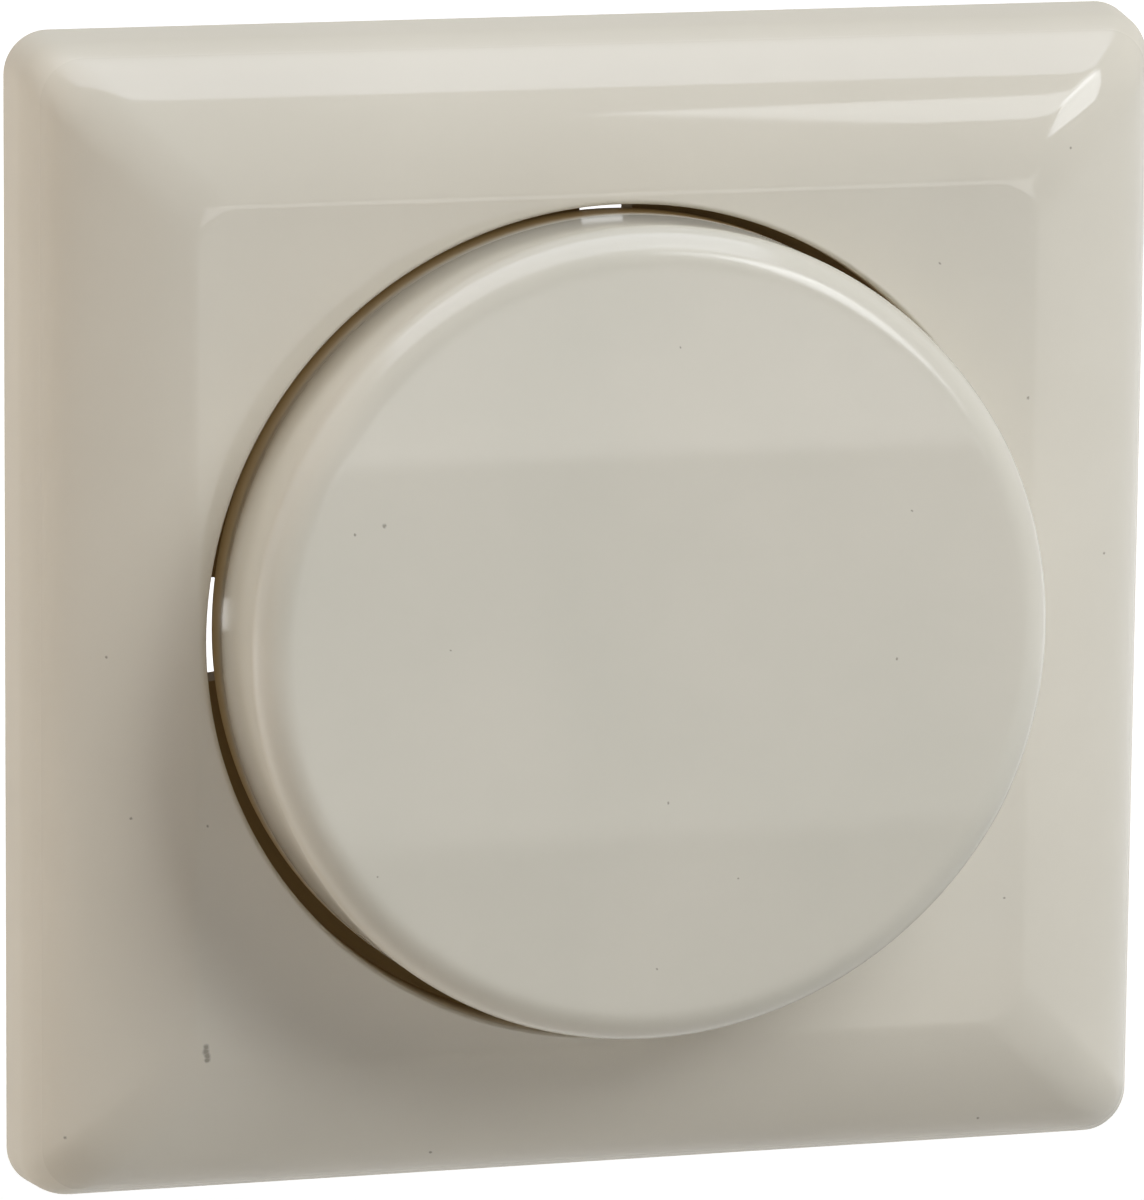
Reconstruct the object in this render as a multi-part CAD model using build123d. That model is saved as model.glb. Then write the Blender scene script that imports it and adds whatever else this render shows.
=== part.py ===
from build123d import *
from math import cos, radians, sin, tan
import os

# A flush rocker light switch: a square cover frame, a round three-faceted rocker and the insert behind them.
# It is modelled lying on its back: X runs to the right, Y up the wall and Z out of the wall, with the wall's
# surface at Z = 0, and write() turns every piece upright. All sizes are in millimetres and degrees.

# Cover frame
FRAME_SIDE = 80.0  # outer side of the square
FRAME_HEIGHT = 11.5  # flat front above the wall
FRAME_WALL = 2.0
FRAME_CORNER = 3.0  # rounding of the four corners and mitres
LOFT_STEPS = 4  # stations along each stretch of the section
RIM_HEIGHT = 3.0  # straight part of the outer side
RIM_LEAN = 0.25  # draft of that straight part
SHOULDER_WIDTH = 3.9  # from the outer side to the end of the round shoulder
SHOULDER_DROP = 2.6  # end of the shoulder below the flat front
OPENING_RADIUS = 28.65
OPENING_ROUNDING = 0.3
FLAT_MARGIN = 0.65  # narrowest part of the flat front beside the opening
COLLAR_WALL = 1.6  # tube behind the opening that stands on the support ring
LEDGE_DEPTH = 4.3  # front of the inner ledge below the flat front
LEDGE_THICKNESS = 2.6
LEDGE_WIDTH = 2.4
SIDE_NOTCH = 7.4  # gaps in the ledge at 3 and 9 o'clock
END_NOTCH = 3.8  # gaps in the ledge at 12 and 6 o'clock
RIB_THICKNESS = 1.4

# Rocker
ROCKER_GAP = 1.05  # radial gap to the opening
ROCKER_RISE = 10.5  # middle of the face in front of the frame's flat
ROCKER_LEAN = 0.15  # draft of the skirt
ROCKER_EDGE = 2.4  # rounding between skirt and face
ROCKER_WALL = 1.8
ROCKER_TOP_WALL = 2.2
FACET_HALF = 12.85  # crease from the middle of the face
FACET_SLOPE = 5.5  # upper and lower facet against the middle one
CREASE_RADIUS = 20.0
SKIRT_CLEARANCE = 0.5  # between skirt and ledge at full tilt
ROCKER_RIB = 1.6
LEG_WIDTH = 4.0
LEG_BARB = 0.8
LEG_BARB_HEIGHT = 1.6

# Cradle that carries the rocker, and its bearings
TILT = 2.2  # each way from the middle position
PIVOT_HEIGHT = 4.0  # axis of the see-saw above the wall
CRADLE_WIDTH = 24.8
CRADLE_LENGTH = 28.0
CRADLE_PLATE = 2.0
CRADLE_LIFT = 3.0  # underside of the plate above the axis
CRADLE_CORNER = 2.0
CHEEK_THICKNESS = 1.8
CHEEK_RADIUS = 2.6
TRUNNION_RADIUS = 1.6
TRUNNION_LENGTH = 3.2
BEARING_CLEARANCE = 0.05
SNAP_SLOT = 2.5  # mouth of a bearing, narrower than the trunnion
SIDE_PLAY = 0.3
LEG_SPACING_X = 16.0
LEG_SPACING_Y = 20.0
LEG_CLEARANCE = 0.2
STOP_CLEARANCE = 0.08
STOP_THICKNESS = 1.6
STOP_WIDTH = 10.0

# Plunger and its spring
TUBE_RADIUS = 3.2
TUBE_LENGTH = 7.0  # below the axis
PLUNGER_RADIUS = 1.9
PLUNGER_CLEARANCE = 0.08
PLUNGER_TIP = 1.2
PLUNGER_TIP_GAP = 0.05
PLUNGER_NECK = 0.7
SPRING_LENGTH = 6.0
SPRING_WIRE = 0.4
SPRING_RADIUS = 1.5
SPRING_TURNS = 6
SPRING_PLAY = 0.05
BORE_CEILING = 0.4  # end of the spring's bore below the plate's underside

# Support ring
RING_THICKNESS = 1.2
RING_MARGIN = 3.0  # between ring and inner side of the frame
RING_CORNER = 6.0
RING_WEB = 1.0  # metal between a fixing hole and the central opening
FIXING_SPACING = 60.0
FIXING_HOLE_RADIUS = 1.8
FIXING_SLOT_ARC = 24.0
HEAD_SPACE = 9.0  # room for the head of a fixing screw in the collar
HEAD_HEIGHT = 3.0
LUG_WIDTH = 8.0
LUG_END = 3.2  # end of a lug past its screw
TONGUE_WIDTH = 6.0
TONGUE_ANGLE = 22.5
TONGUE_PLAY = 0.3

# Housing and its front cover
HOUSING_WIDTH = 36.0
HOUSING_HEIGHT = 38.0
HOUSING_DEPTH = 22.0
HOUSING_CORNER = 3.0
HOUSING_BACK_EDGE = 0.8
HOUSING_WALL = 1.4
HOUSING_FLOOR = 1.5
COVER_THICKNESS = 2.0
LUG_CLEARANCE = 0.2
CHAMBER_DEPTH = 15.5  # floor of the contact chamber behind the wall
CHAMBER_PLAY = 1.0  # beside the plunger's tube
WELL_LENGTH = 7.6
WELL_WIDTH = 9.0
POCKET_LENGTH = 18.0
SCREW_INSET = 4.0
SCREW_RADIUS = 1.1
SCREW_LENGTH = 10.0
SCREW_FIT = 0.04
SCREW_CLEARANCE = 0.2
SCREW_HEAD_RADIUS = 2.2
SCREW_HEAD_HEIGHT = 1.4
SCREW_HEAD_ROUNDING = 0.5
SCREW_SLOT_WIDTH = 0.6
SCREW_SLOT_DEPTH = 0.7

# Contacts and terminals
STRIP_THICKNESS = 0.8
STRIP_WIDTH = 5.0
STRIP_PLAY = 0.1
LEVER_TILT = 5.0
LEVER_ARM = 7.4  # contact rivet from the knife edge
LEVER_WIDTH = 5.0
LEVER_OVERHANG = 1.8
LEVER_MIDDLE = 1.4  # thickness over the knife edge
LEVER_END = 0.9
LEVER_SADDLE = 2.0  # half length of the flat under the plunger
GROOVE_DEPTH = 0.7
GROOVE_HALF = 0.9
KNIFE_HEIGHT = 2.9  # axis of the round knife edge above its strip
KNIFE_THICKNESS = 1.0
KNIFE_RADIUS = 0.2
KNIFE_ANGLE = 20.0  # each side against the blade
KNIFE_PLAY = 0.06
RIVET_RADIUS = 1.4
RIVET_HEAD = 0.8
RIVET_ROUNDING = 0.3
RIVET_SHANK = 0.7
RIVET_FIT = 0.02
CONTACT_GAP = 0.05

# Clamp springs, release buttons and wire entries
CLAMP_THICKNESS = 0.4
CLAMP_WIDTH = 7.6
CLAMP_BEND = 0.9
CLAMP_PLAY = 0.1
CLAMP_DROP = 0.3  # top of the bend below the terminal strip
CLAMP_SLIT = 0.8
CLAMP_TIP_GAP = 0.35  # between the spring's tip and the terminal
TAB_WIDTH = 8.4
TAB_PLAY = 0.2
BUTTON_THICKNESS = 1.7
BUTTON_WIDTH = 4.0
BUTTON_FLANGE_WIDTH = 6.8
BUTTON_FLANGE = 1.0
BUTTON_PROUD = 0.6
BUTTON_PLAY = 0.15
BUTTON_FROM_WALL = 0.95
BUTTON_HEAD_GAP = 0.3
BUTTON_SLOT = 0.6
BUTTON_SLOT_DEPTH = 0.4
WIRE_HOLE = 2.6
WIRE_FUNNEL = 0.5
WIRE_SPACING = 4.6
WIRE_GAP = 0.2

# Places that several pieces share
flat_half = OPENING_RADIUS + FLAT_MARGIN
ledge_front = FRAME_HEIGHT - LEDGE_DEPTH
ledge_back = ledge_front - LEDGE_THICKNESS
rocker_radius = OPENING_RADIUS - ROCKER_GAP
rocker_face = FRAME_HEIGHT + ROCKER_RISE
skirt_end = ledge_front + rocker_radius * sin(radians(TILT)) + SKIRT_CLEARANCE
plate_back = PIVOT_HEIGHT + CRADLE_LIFT
plate_front = plate_back + CRADLE_PLATE
leg_x = LEG_SPACING_X / 2
leg_y = LEG_SPACING_Y / 2
cover_front = RING_THICKNESS + COVER_THICKNESS
ring_side = FRAME_SIDE - 2 * (FRAME_WALL + RING_MARGIN)
ring_opening = FIXING_SPACING / 2 - FIXING_HOLE_RADIUS - RING_WEB
screw_x = HOUSING_WIDTH / 2 - SCREW_INSET
screw_y = HOUSING_HEIGHT / 2 - SCREW_INSET
well_side = HOUSING_WIDTH / 2 - HOUSING_WALL
well_end = HOUSING_HEIGHT / 2 - HOUSING_WALL
well_floor = HOUSING_FLOOR - HOUSING_DEPTH
chamber_half = TUBE_RADIUS + CHAMBER_PLAY
chamber_floor = -CHAMBER_DEPTH
strip_front = chamber_floor + STRIP_THICKNESS
knife_edge = strip_front + KNIFE_HEIGHT
groove_radius = KNIFE_RADIUS + KNIFE_PLAY
lever_back = knife_edge + groove_radius - GROOVE_DEPTH
lever_front = lever_back + LEVER_MIDDLE
plunger_end = lever_front + PLUNGER_TIP_GAP
spring_top = plate_back - BORE_CEILING - SPRING_PLAY
spring_bottom = spring_top - SPRING_LENGTH
plunger_top = spring_bottom - SPRING_PLAY
rivet_reach = LEVER_ARM + RIVET_RADIUS - RIVET_ROUNDING
rivet_drop = knife_edge - lever_back + RIVET_HEAD - RIVET_ROUNDING
contact_level = knife_edge - RIVET_ROUNDING
contact_level -= rivet_reach * sin(radians(LEVER_TILT)) + rivet_drop * cos(radians(LEVER_TILT))
see_saw = Axis((0, 0, PIVOT_HEIGHT), (1, 0, 0))
lever_axis = Axis((0, 0, knife_edge), (1, 0, 0))


def block(x, y, z):
    """A box between three pairs of limits."""
    limits = (x, y, z)
    centre = [(low + high) / 2 for low, high in limits]
    size = [high - low for low, high in limits]
    return Pos(*centre) * Box(*size)


def disc(radius, z):
    """An upright cylinder on the Z axis between two heights."""
    return Pos(0, 0, sum(z) / 2) * Cylinder(radius, z[1] - z[0])


def rounded_plate(width, height, corner, z):
    """A plate with rounded corners between two heights."""
    outline = Pos(0, 0, z[0]) * RectangleRounded(width, height, corner)
    return extrude(outline, z[1] - z[0])


def across(outline, x):
    """An outline drawn in Y and Z, extruded between two values of X."""
    return Pos(x[0], 0, 0) * extrude(Plane.YZ * outline, x[1] - x[0])


def polygon(points):
    """A face inside a closed run of straight lines."""
    return make_face(Polyline(*points, close=True))


def write(name, piece):
    """Turn a piece upright, so that the front looks along -Y, and write it."""
    export_step(Rot(90, 0, 0) * piece, f"parts/{name}.step")


# Cover frame: a moulded cushion-shaped shell


def frame_curves():
    """Half of the frame's outer section: leaning rim, round shoulder and gently arched band."""
    edge = FRAME_SIDE / 2
    rim = Line((edge, 0), (edge - RIM_LEAN, RIM_HEIGHT))
    shoulder_end = (edge - SHOULDER_WIDTH, FRAME_HEIGHT - SHOULDER_DROP)
    shoulder = TangentArc(rim @ 1, shoulder_end, tangent=rim % 1)
    band = TangentArc(shoulder @ 1, (flat_half, FRAME_HEIGHT), tangent=shoulder % 1)
    return rim, shoulder, band


def cushion():
    """The frame's outer form: rounded squares that follow the section, with soft mitres at the corners."""
    form = Part()
    for curve in frame_curves():
        squares = []
        for step in range(LOFT_STEPS + 1):
            station = curve @ (step / LOFT_STEPS)
            side = 2 * station.X
            squares.append(Pos(0, 0, station.Y) * RectangleRounded(side, side, FRAME_CORNER))
        form += loft(squares)
    return form


def frame_hollow():
    """The space behind the shell: two crossed extrusions of the section, one wall further in."""
    edge = FRAME_SIDE / 2
    below = -2 * FRAME_WALL
    rim, shoulder, band = frame_curves()
    foot = Polyline((0, below), (edge, below), rim @ 0)
    half = foot + rim + shoulder + band + Line(band @ 1, (0, FRAME_HEIGHT))
    section = offset(make_face(half + mirror(half, Plane.YZ)), -FRAME_WALL, kind=Kind.INTERSECTION)
    along_y = extrude(Plane.XZ * section, FRAME_SIDE, both=True)
    along_x = extrude(Plane.YZ * section, FRAME_SIDE, both=True)
    return along_y & along_x


def make_cover_frame():
    inside = frame_hollow()
    shell = cushion() - inside
    reach = (-FRAME_SIDE, FRAME_SIDE)

    collar = disc(OPENING_RADIUS + COLLAR_WALL, (RING_THICKNESS, FRAME_HEIGHT - FRAME_WALL / 2))
    for angle in (45, 135):
        rib = block(reach, (-RIB_THICKNESS / 2, RIB_THICKNESS / 2), (RING_THICKNESS, FRAME_HEIGHT))
        collar += (Rot(0, 0, angle) * rib) & inside
    opening = disc(OPENING_RADIUS, (-FRAME_WALL, FRAME_HEIGHT + FRAME_WALL))
    frame = shell + collar - opening
    rim = [
        edge
        for edge in frame.edges().filter_by(GeomType.CIRCLE)
        if abs(edge.radius - OPENING_RADIUS) < 0.001 and abs(edge.center().Z - FRAME_HEIGHT) < 0.001
    ]
    frame = fillet(rim, OPENING_ROUNDING)

    ledge = disc(OPENING_RADIUS + COLLAR_WALL / 2, (ledge_back, ledge_front))
    ledge -= disc(OPENING_RADIUS - LEDGE_WIDTH, (ledge_back, ledge_front))
    inner = (-OPENING_RADIUS, OPENING_RADIUS)
    heights = (ledge_back, ledge_front)
    ledge -= block(inner, (-SIDE_NOTCH / 2, SIDE_NOTCH / 2), heights)
    ledge -= block((-END_NOTCH / 2, END_NOTCH / 2), inner, heights)
    frame += ledge

    head_room = (FIXING_SPACING / 2 - HEAD_SPACE / 2, FIXING_SPACING / 2 + HEAD_SPACE / 2)
    for angle in (0, 90, 180, 270):
        room = block(head_room, (-HEAD_SPACE / 2, HEAD_SPACE / 2), (0, RING_THICKNESS + HEAD_HEIGHT))
        frame -= Rot(0, 0, angle) * room
    return frame


# Rocker: a moulded cap with three facets, two ribs that sit on the cradle and four clip legs


def facet_section(drop, foot):
    """Side view of the rocker's facets, lowered by the thickness of its top."""
    reach = OPENING_RADIUS
    crease = rocker_face - drop
    end = crease - (reach - FACET_HALF) * tan(radians(FACET_SLOPE))
    points = ((-reach, foot), (reach, foot), (reach, end), (FACET_HALF, crease))
    outline = polygon(points + ((-FACET_HALF, crease), (-reach, end)))
    creases = [corner for corner in outline.vertices() if abs(corner.Y - crease) < 0.001]
    return fillet(creases, CREASE_RADIUS)


def make_rocker():
    wide = (-OPENING_RADIUS, OPENING_RADIUS)
    tall = rocker_face - skirt_end
    cap = Pos(0, 0, skirt_end + tall / 2) * Cone(rocker_radius, rocker_radius - ROCKER_LEAN, tall)
    cap &= across(facet_section(0, skirt_end), wide)
    face_edge = []
    for edge in cap.edges():
        middle = edge @ 0.5
        from_axis = Vector(middle.X, middle.Y).length
        if from_axis > rocker_radius - ROCKER_EDGE / 2 and middle.Z > skirt_end + ROCKER_EDGE:
            face_edge.append(edge)
    cap = fillet(face_edge, ROCKER_EDGE)
    hollow = disc(rocker_radius - ROCKER_WALL, (skirt_end - ROCKER_WALL, rocker_face))
    hollow &= across(facet_section(ROCKER_TOP_WALL, skirt_end - ROCKER_WALL), wide)
    cap -= hollow

    rib_half = ROCKER_RIB / 2
    barb_top = plate_back - LEG_CLEARANCE
    tip = barb_top - LEG_BARB_HEIGHT
    leg_points = (
        (leg_x - rib_half, plate_front),
        (leg_x + rib_half, plate_front),
        (leg_x + rib_half, barb_top),
        (leg_x + rib_half + LEG_BARB, barb_top),
        (leg_x, tip),
        (leg_x - rib_half, tip),
    )
    leg = extrude(Plane.XZ * polygon(leg_points), LEG_WIDTH / 2, both=True)
    rib_y = (-CRADLE_LENGTH / 2, CRADLE_LENGTH / 2)
    rib = block((leg_x - rib_half, leg_x + rib_half), rib_y, (plate_front, rocker_face))
    half = (rib & hollow) + Pos(0, leg_y, 0) * leg + Pos(0, -leg_y, 0) * leg
    return cap + half + mirror(half, Plane.YZ)


# Cradle: the see-saw under the rocker, with two trunnions and the plunger's tube


def make_rocker_cradle():
    cradle = rounded_plate(CRADLE_WIDTH, CRADLE_LENGTH, CRADLE_CORNER, (plate_back, plate_front))
    cheek = Pos(0, PIVOT_HEIGHT) * Circle(CHEEK_RADIUS)
    cheek += Pos(0, PIVOT_HEIGHT + CRADLE_LIFT / 2) * Rectangle(2 * CHEEK_RADIUS, CRADLE_LIFT)
    trunnion = Pos(0, PIVOT_HEIGHT) * Circle(TRUNNION_RADIUS)
    outer = CRADLE_WIDTH / 2
    side = across(cheek, (outer - CHEEK_THICKNESS, outer))
    side += across(trunnion, (outer, outer + TRUNNION_LENGTH))
    cradle += side + mirror(side, Plane.YZ)
    tube_end = PIVOT_HEIGHT - TUBE_LENGTH
    cradle += disc(TUBE_RADIUS, (tube_end, plate_back))
    cradle -= disc(PLUNGER_RADIUS + PLUNGER_CLEARANCE, (tube_end, plate_back - BORE_CEILING))
    window_x = (leg_x - ROCKER_RIB / 2 - LEG_CLEARANCE, leg_x + ROCKER_RIB / 2 + LEG_CLEARANCE)
    window_y = (leg_y - LEG_WIDTH / 2 - LEG_CLEARANCE, leg_y + LEG_WIDTH / 2 + LEG_CLEARANCE)
    window = block(window_x, window_y, (plate_back, plate_front))
    window += mirror(window, Plane.XZ)
    return cradle - window - mirror(window, Plane.YZ)


def make_plunger():
    taper = PLUNGER_RADIUS - PLUNGER_TIP
    neck = plunger_end + PLUNGER_TIP + PLUNGER_NECK
    outline = Polyline(
        (0, plunger_top),
        (PLUNGER_RADIUS, plunger_top),
        (PLUNGER_RADIUS, neck + taper),
        (PLUNGER_TIP, neck),
        (PLUNGER_TIP, plunger_end + PLUNGER_TIP),
    )
    point = TangentArc(outline @ 1, (0, plunger_end), tangent=(0, -1))
    axis = Line(point @ 1, outline @ 0)
    return revolve(Plane.XZ * make_face(outline + point + axis), Axis.Z)


def make_plunger_spring():
    height = SPRING_LENGTH - SPRING_WIRE
    start = spring_bottom + SPRING_WIRE / 2
    path = Helix(height / SPRING_TURNS, height, SPRING_RADIUS, center=(0, 0, start))
    wire = Plane(path @ 0, z_dir=path % 0) * Circle(SPRING_WIRE / 2)
    return sweep(wire, path, is_frenet=True)


# Support ring: stamped steel with lugs for the housing and tongues that hold the frame


def lug_outline(clearance):
    """The four lugs, from the ring's metal inwards past the housing screws."""
    screw = Vector(screw_x, screw_y)
    inner = screw.length - LUG_END - clearance
    outer = ring_opening + RING_THICKNESS
    width = LUG_WIDTH + 2 * clearance
    lug = Pos((inner + outer) / 2, 0) * Rectangle(outer - inner, width)
    angle = Vector(1, 0).get_angle(screw)
    turns = (angle, 180 - angle, 180 + angle, -angle)
    return Sketch() + [Rot(0, 0, turn) * lug for turn in turns]


def at_screws(piece):
    """Copies of a piece at the four housing screws."""
    return [Pos(x, y, 0) * piece for x in (-screw_x, screw_x) for y in (-screw_y, screw_y)]


def make_support_ring():
    outline = RectangleRounded(ring_side, ring_side, RING_CORNER) - Circle(ring_opening) + lug_outline(0)
    outline -= at_screws(Circle(SCREW_RADIUS + SCREW_CLEARANCE))
    radius = FIXING_SPACING / 2
    outline -= [Pos(x, 0) * Circle(FIXING_HOLE_RADIUS) for x in (-radius, radius)]
    for middle in (90, 270):
        arc = CenterArc((0, 0), radius, middle - FIXING_SLOT_ARC / 2, FIXING_SLOT_ARC)
        outline -= SlotArc(arc, 2 * FIXING_HOLE_RADIUS)
    ring = extrude(outline, RING_THICKNESS)
    top = ledge_back - TONGUE_PLAY
    tongue = block(
        (ring_opening, ring_opening + RING_THICKNESS),
        (-TONGUE_WIDTH / 2, TONGUE_WIDTH / 2),
        (0, top),
    )
    turns = (TONGUE_ANGLE, 180 - TONGUE_ANGLE, 180 + TONGUE_ANGLE, -TONGUE_ANGLE)
    return ring + [Rot(0, 0, turn) * tongue for turn in turns]


# Housing: chamber for the contacts, three terminal wells and four screw bosses


def well(inner, outer):
    """A terminal well, with its wire entries and button slot, on the +X side."""
    space = block((inner, outer), (-WELL_WIDTH / 2, WELL_WIDTH / 2), (well_floor, RING_THICKNESS))
    back = -HOUSING_DEPTH
    near = inner + BUTTON_FROM_WALL
    slot_x = (near - BUTTON_PLAY, near + BUTTON_THICKNESS + BUTTON_PLAY)
    slot_half = BUTTON_WIDTH / 2 + BUTTON_PLAY
    space += block(slot_x, (-slot_half, slot_half), (back, well_floor))
    wire_x = outer - STRIP_PLAY - STRIP_THICKNESS - WIRE_GAP - WIRE_HOLE / 2
    entry = Pos(0, 0, back) * Rectangle(WIRE_HOLE, WIRE_HOLE)
    mouth = Pos(0, 0, back) * Rectangle(WIRE_HOLE + 2 * WIRE_FUNNEL, WIRE_HOLE + 2 * WIRE_FUNNEL)
    funnel = extrude(entry, HOUSING_FLOOR) + extrude(mouth, WIRE_FUNNEL, taper=45)
    return space + [Pos(wire_x, y, 0) * funnel for y in (-WIRE_SPACING / 2, WIRE_SPACING / 2)]


def make_base_housing():
    heights = (-HOUSING_DEPTH, RING_THICKNESS)
    body = rounded_plate(HOUSING_WIDTH, HOUSING_HEIGHT, HOUSING_CORNER, heights)
    body = fillet(body.faces().sort_by(Axis.Z)[0].edges(), HOUSING_BACK_EDGE)
    chamber = (-chamber_half, chamber_half)
    open_top = (chamber_floor, RING_THICKNESS)
    body -= block(chamber, (-well_end, well_end), open_top)
    body -= block((0, well_side), (-STRIP_WIDTH / 2 - STRIP_PLAY, STRIP_WIDTH / 2 + STRIP_PLAY), open_top)
    body -= well(well_side - WELL_LENGTH, well_side)
    end_well = well(well_end - WELL_LENGTH, well_end)
    body -= Rot(0, 0, 90) * end_well
    body -= Rot(0, 0, -90) * end_well
    pocket_x = (-well_side, -chamber_half - HOUSING_WALL)
    body -= block(pocket_x, (-POCKET_LENGTH / 2, POCKET_LENGTH / 2), (well_floor, RING_THICKNESS))
    body -= extrude(lug_outline(LUG_CLEARANCE), RING_THICKNESS)
    pilot = disc(SCREW_RADIUS + SCREW_FIT, (cover_front - SCREW_LENGTH - SCREW_CLEARANCE, RING_THICKNESS))
    return body - at_screws(pilot)


def make_bearing_cover():
    heights = (RING_THICKNESS, cover_front)
    cover = rounded_plate(HOUSING_WIDTH, HOUSING_HEIGHT, HOUSING_CORNER, heights)
    inner = CRADLE_WIDTH / 2 + SIDE_PLAY
    outer = CRADLE_WIDTH / 2 + TRUNNION_LENGTH + SIDE_PLAY
    post = Pos(0, PIVOT_HEIGHT) * Circle(CHEEK_RADIUS + CHEEK_THICKNESS / 2)
    post += Pos(0, PIVOT_HEIGHT / 2 + RING_THICKNESS / 2) * Rectangle(
        2 * CHEEK_RADIUS + CHEEK_THICKNESS, PIVOT_HEIGHT - RING_THICKNESS
    )
    journal = Pos(0, PIVOT_HEIGHT) * Circle(TRUNNION_RADIUS + BEARING_CLEARANCE)
    journal += Pos(0, PIVOT_HEIGHT + CRADLE_LIFT) * Rectangle(SNAP_SLOT, 2 * CRADLE_LIFT)
    bearing = across(post, (inner, outer))
    cover += bearing + mirror(bearing, Plane.YZ)
    trough = across(journal, (inner - SIDE_PLAY, outer + SIDE_PLAY))
    cheek_room = Pos(0, PIVOT_HEIGHT) * Circle(CHEEK_RADIUS + SIDE_PLAY)
    trough += across(cheek_room, (inner - CHEEK_THICKNESS - 2 * SIDE_PLAY, inner))
    cover -= trough + mirror(trough, Plane.YZ)
    swing = TUBE_LENGTH * sin(radians(TILT)) + CHAMBER_PLAY
    tube_half = TUBE_RADIUS + swing
    cover -= block((-chamber_half, chamber_half), (-tube_half, tube_half), heights)
    stop_y = CRADLE_LENGTH / 2 - STOP_THICKNESS
    stop_front = PIVOT_HEIGHT + CRADLE_LIFT * cos(radians(TILT))
    stop_front -= CRADLE_LENGTH / 2 * sin(radians(TILT)) + STOP_CLEARANCE
    stop_x = (-STOP_WIDTH / 2, STOP_WIDTH / 2)
    stop = block(stop_x, (stop_y, stop_y + STOP_THICKNESS), (RING_THICKNESS, stop_front))
    cover += stop + mirror(stop, Plane.XZ)
    return cover - at_screws(disc(SCREW_RADIUS + SCREW_CLEARANCE, heights))


def make_housing_screws():
    head_front = cover_front + SCREW_HEAD_HEIGHT
    head = disc(SCREW_HEAD_RADIUS, (cover_front, head_front))
    head = fillet(head.edges().group_by(Axis.Z)[-1], SCREW_HEAD_ROUNDING)
    slot_z = (head_front - SCREW_SLOT_DEPTH, head_front)
    arm = (-SCREW_HEAD_RADIUS, SCREW_HEAD_RADIUS)
    head -= block(arm, (-SCREW_SLOT_WIDTH / 2, SCREW_SLOT_WIDTH / 2), slot_z)
    screw = head + disc(SCREW_RADIUS, (cover_front - SCREW_LENGTH, cover_front))
    return Part() + at_screws(screw)


# Contacts: see-saw lever on a knife edge between two fixed contacts


def rivet(base, head, shank):
    """A contact rivet that looks along +Z: its head stands on base, its shank goes back through the strip."""
    button = disc(RIVET_RADIUS, (base, base + head))
    button = fillet(button.edges().group_by(Axis.Z)[-1], RIVET_ROUNDING)
    return button + disc(RIVET_SHANK, (base - shank, base))


def make_contact_lever():
    end = LEVER_ARM + LEVER_OVERHANG
    half = (
        (GROOVE_HALF, lever_back),
        (end, lever_back),
        (end, lever_back + LEVER_END),
        (LEVER_SADDLE, lever_front),
    )
    other = tuple((-y, z) for y, z in reversed(half))
    flanks = ((-groove_radius, knife_edge), (groove_radius, knife_edge))
    outline = polygon(half + other + flanks) - Pos(0, knife_edge) * Circle(groove_radius)
    lever = across(outline, (-LEVER_WIDTH / 2, LEVER_WIDTH / 2))
    hole = disc(RIVET_SHANK + RIVET_FIT, (lever_back, lever_front))
    return lever - Pos(0, LEVER_ARM, 0) * hole - Pos(0, -LEVER_ARM, 0) * hole


def make_moving_contact(side):
    contact = Rot(180, 0, 0) * rivet(-lever_back, RIVET_HEAD, LEVER_END)
    return Pos(0, side * LEVER_ARM, 0) * contact


def make_fixed_contact(side):
    head = contact_level - CONTACT_GAP - strip_front
    return Pos(0, side * LEVER_ARM, 0) * rivet(strip_front, head, STRIP_THICKNESS)


def terminal_strip(start, outer):
    """A brass strip along +X on the chamber's floor, folded down at its end into the wire clamp."""
    end = outer - STRIP_PLAY
    strip = block((start, end), (-STRIP_WIDTH / 2, STRIP_WIDTH / 2), (chamber_floor, strip_front))
    tab_z = (well_floor + TAB_PLAY, strip_front)
    return strip + block((end - STRIP_THICKNESS, end), (-TAB_WIDTH / 2, TAB_WIDTH / 2), tab_z)


def make_common_terminal():
    half = KNIFE_THICKNESS / 2
    lean = radians(KNIFE_ANGLE)
    shoulder = knife_edge - (half * cos(lean) - KNIFE_RADIUS) / sin(lean)
    side = (
        (half, chamber_floor),
        (half, shoulder),
        (KNIFE_RADIUS * cos(lean), knife_edge + KNIFE_RADIUS * sin(lean)),
    )
    other = tuple((-y, z) for y, z in reversed(side))
    outline = polygon(side + other) + Pos(0, knife_edge) * Circle(KNIFE_RADIUS)
    knife = across(outline, (-STRIP_WIDTH / 2, STRIP_WIDTH / 2))
    return terminal_strip(-STRIP_WIDTH / 2, well_side) + knife


def make_end_terminal(turn):
    strip = terminal_strip(LEVER_ARM - STRIP_WIDTH / 2, well_end)
    strip -= Pos(LEVER_ARM, 0, 0) * disc(RIVET_SHANK + RIVET_FIT, (chamber_floor, strip_front))
    return Rot(0, 0, turn) * strip


# Wire clamps: a leaf spring and a release button in each well


def clamp_lines(outer):
    """Middle lines of a clamp spring's straight parts: the leg at the inner wall and the slanting tongue."""
    leg = outer - WELL_LENGTH + CLAMP_PLAY + CLAMP_THICKNESS / 2
    bend = chamber_floor - CLAMP_DROP - CLAMP_THICKNESS / 2 - CLAMP_BEND
    foot = well_floor + TAB_PLAY
    tip = outer - STRIP_PLAY - STRIP_THICKNESS - CLAMP_TIP_GAP - CLAMP_THICKNESS / 2
    return Line((leg, foot), (leg, bend)), Line((leg + 2 * CLAMP_BEND, bend), (tip, foot + CLAMP_BEND))


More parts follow.
